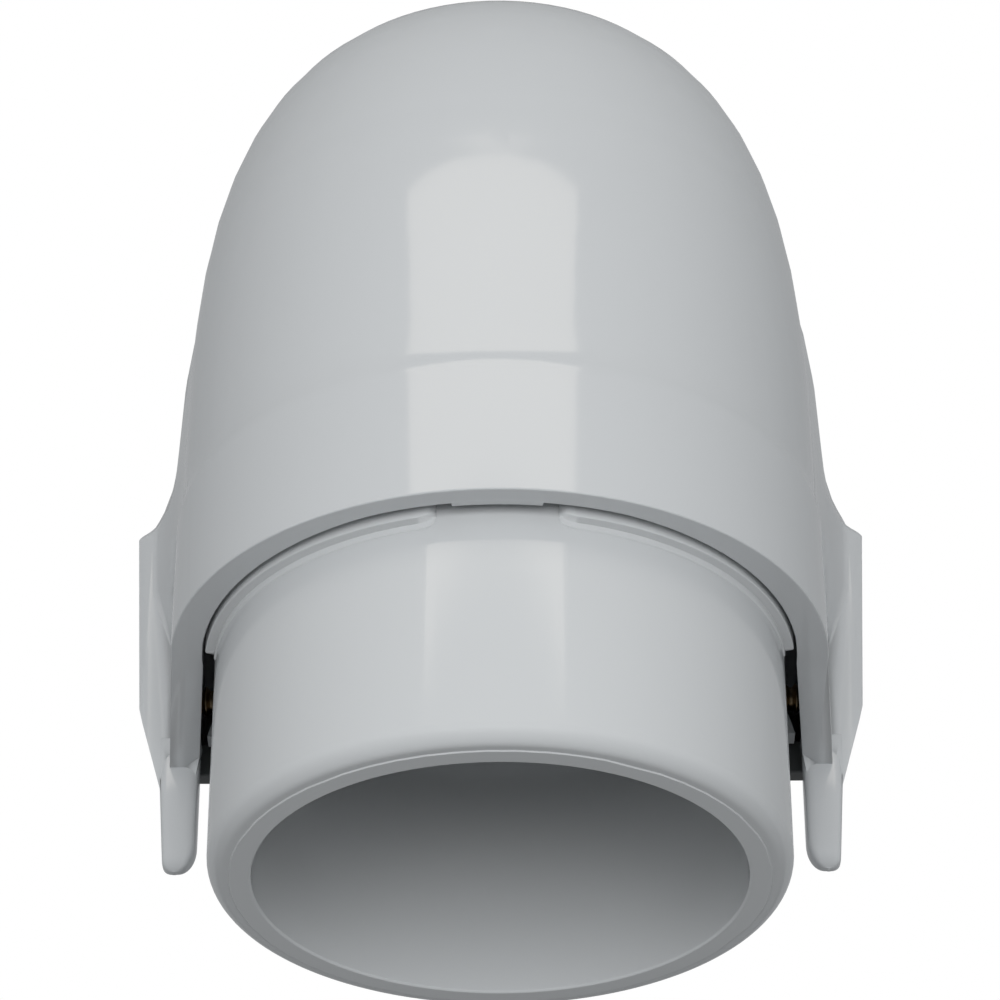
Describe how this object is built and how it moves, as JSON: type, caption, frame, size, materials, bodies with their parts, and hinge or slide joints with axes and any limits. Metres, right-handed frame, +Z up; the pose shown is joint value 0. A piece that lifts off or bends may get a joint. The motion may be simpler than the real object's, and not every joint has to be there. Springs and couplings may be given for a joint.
{
  "type": "service entrance weatherhead",
  "caption": "Slip-on service entrance weatherhead for plastic conduit: a moulded hood screwed over a socket body, with a wire plate across its downward mouth.",
  "frame": {"origin": "centre of the conduit socket's open end, at the bottom of the hub", "axes": "+Z up along the socket's axis into the fitting, +Y towards the wire mouth, +X to the right seen from behind"},
  "size_m": [0.0692, 0.085, 0.0863],
  "materials": {
    "body_plastic": "smooth moulded light grey PVC",
    "hood_plastic": "smooth moulded light grey PVC",
    "plate_plastic": "plain dark grey moulded plastic",
    "screw_steel": "yellow zinc plated"
  },
  "bodies": {
    "root": {"hub_body": "body_plastic", "hood": "hood_plastic", "wire_plate": "plate_plastic", "cover_screws": "screw_steel"}
  },
  "joints": []
}
